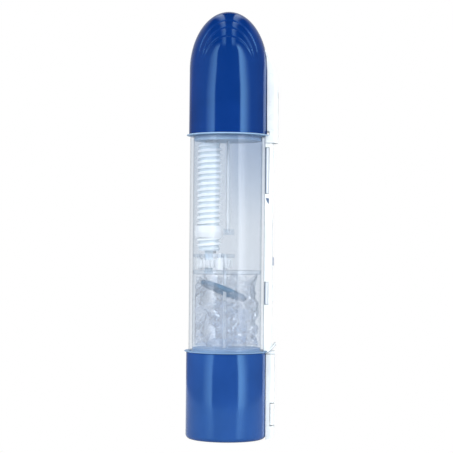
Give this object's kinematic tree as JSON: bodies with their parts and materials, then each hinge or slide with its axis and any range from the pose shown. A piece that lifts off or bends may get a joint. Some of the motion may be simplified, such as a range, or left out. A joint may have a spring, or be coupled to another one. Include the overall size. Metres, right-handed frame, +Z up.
{
  "type": "motorized pipette controller",
  "caption": "Upright inline pipette controller: blue base and domed cap, clear barrel with lead screw and piston drive, and a pale control spine.",
  "frame": {"origin": "middle of the foot pad's underside, on the body's axis", "axes": "+Z up along the body, +X towards the control spine, +Y towards the battery door"},
  "size_m": [0.0448, 0.0408, 0.208],
  "materials": {
    "blue_shell": "glossy moulded ABS",
    "clear_plastic": "clear polycarbonate",
    "pale_shell": "semi-gloss white ABS",
    "white_acetal": "satin acetal",
    "slate_soft": "matt soft-touch elastomer",
    "black_rubber": "matt rubber",
    "silicone": "satin silicone",
    "steel": "ground steel",
    "brass": "plain brass",
    "film": "thin clear film",
    "circuit": "solder-masked laminate",
    "blue_grey": "satin moulded ABS",
    "cell_label": "shrink sleeve"
  },
  "bodies": {
    "housing": {"foot_pad": "black_rubber", "base_cup": "blue_shell", "door_pin": "steel", "battery_cell": "cell_label", "contact_spring": "brass", "contact_plate": "brass", "drive_motor": "steel", "motor_end_bell": "white_acetal", "gearbox_plate": "white_acetal", "plate_screw_1": "steel", "plate_screw_2": "steel", "plate_screw_3": "steel", "motor_screw_1": "steel", "motor_screw_2": "steel", "chamber_floor": "blue_grey", "clear_barrel": "clear_plastic", "bulkhead": "clear_plastic", "bearing_plate": "clear_plastic", "plate_spacer_1": "white_acetal", "plate_spacer_2": "white_acetal", "plate_spacer_3": "white_acetal", "guide_rod": "steel", "film_wrap": "film", "spare_ring": "silicone", "cylinder_flange": "blue_grey", "cap_gasket": "silicone", "air_cylinder": "clear_plastic", "filter_holder": "white_acetal", "membrane_filter": "white_acetal", "barrel_spine": "pale_shell", "base_spine": "pale_shell", "charge_socket": "steel", "control_strip": "circuit", "aspirate_switch": "steel", "dispense_switch": "steel", "speed_switch": "black_rubber", "aspirate_seal": "slate_soft", "dispense_seal": "slate_soft", "status_light": "clear_plastic", "wire_loom": "black_rubber"},
    "cap": {"dome_cap": "blue_shell", "cap_spine": "pale_shell"},
    "nose": {"nose_cone": "white_acetal", "pipette_adapter": "silicone"},
    "screw": {"lead_screw": "white_acetal", "screw_gear": "white_acetal"},
    "carriage": {"drive_nut": "white_acetal", "carriage_arm": "clear_plastic", "piston_rod": "white_acetal", "piston": "white_acetal", "piston_ring": "black_rubber"},
    "shaft": {"drive_shaft": "white_acetal", "shaft_wheel": "white_acetal", "top_pinion": "white_acetal"},
    "pinion": {"motor_pinion": "brass"},
    "door": {"battery_door": "blue_shell"},
    "flap": {"charge_flap": "pale_shell"},
    "aspirate": {"aspirate_button": "pale_shell"},
    "dispense": {"dispense_button": "pale_shell"},
    "knob": {"speed_knob": "slate_soft"}
  },
  "joints": [
    {"name": "cap_lift", "type": "slide", "parent": "housing", "child": "cap", "axis": [0, 0, 1], "range_m": [0, 0.06]},
    {"name": "nose_twist", "type": "hinge", "parent": "housing", "child": "nose", "pos_m": [0, 0, 0.19], "axis": [0, 0, 1], "range_deg": [0, 90]},
    {"name": "screw_turn", "type": "hinge", "parent": "housing", "child": "screw", "pos_m": [-0.0089, -0.00285, 0.1], "axis": [0, 0, 1], "range_deg": [-3631.87, 0]},
    {"name": "piston_drive", "type": "slide", "parent": "housing", "child": "carriage", "axis": [0, 0, 1], "range_m": [0, 0.027]},
    {"name": "shaft_turn", "type": "hinge", "parent": "housing", "child": "shaft", "pos_m": [-0.001, 0, 0.06], "axis": [0, 0, 1], "range_deg": [0, 6538.36]},
    {"name": "motor_turn", "type": "hinge", "parent": "housing", "child": "pinion", "pos_m": [0.00766, -0.005, 0.035], "axis": [0, 0, 1], "range_deg": [-19615.08, 0]},
    {"name": "battery_door_open", "type": "hinge", "parent": "housing", "child": "door", "pos_m": [0, 0.0182, 0.0059], "axis": [-1, 0, 0], "range_deg": [0, 90]},
    {"name": "charge_flap_open", "type": "hinge", "parent": "housing", "child": "flap", "pos_m": [0.023, 0, 0.0078], "axis": [0, 1, 0], "range_deg": [0, 95]},
    {"name": "aspirate_press", "type": "slide", "parent": "housing", "child": "aspirate", "axis": [-1, 0, 0], "range_m": [0, 0.00045], "stiffness_N_per_m": 400, "springref_m": -0.0005},
    {"name": "dispense_press", "type": "slide", "parent": "housing", "child": "dispense", "axis": [-1, 0, 0], "range_m": [0, 0.00045], "stiffness_N_per_m": 400, "springref_m": -0.0005},
    {"name": "speed_slide", "type": "slide", "parent": "housing", "child": "knob", "axis": [0, 0, 1], "range_m": [0, 0.004]}
  ],
  "couplings": [
    {"joint": "screw_turn", "follows": "piston_drive", "rad_per_m": -2344.5},
    {"joint": "shaft_turn", "follows": "piston_drive", "rad_per_m": 4220},
    {"joint": "motor_turn", "follows": "piston_drive", "rad_per_m": -12660}
  ]
}
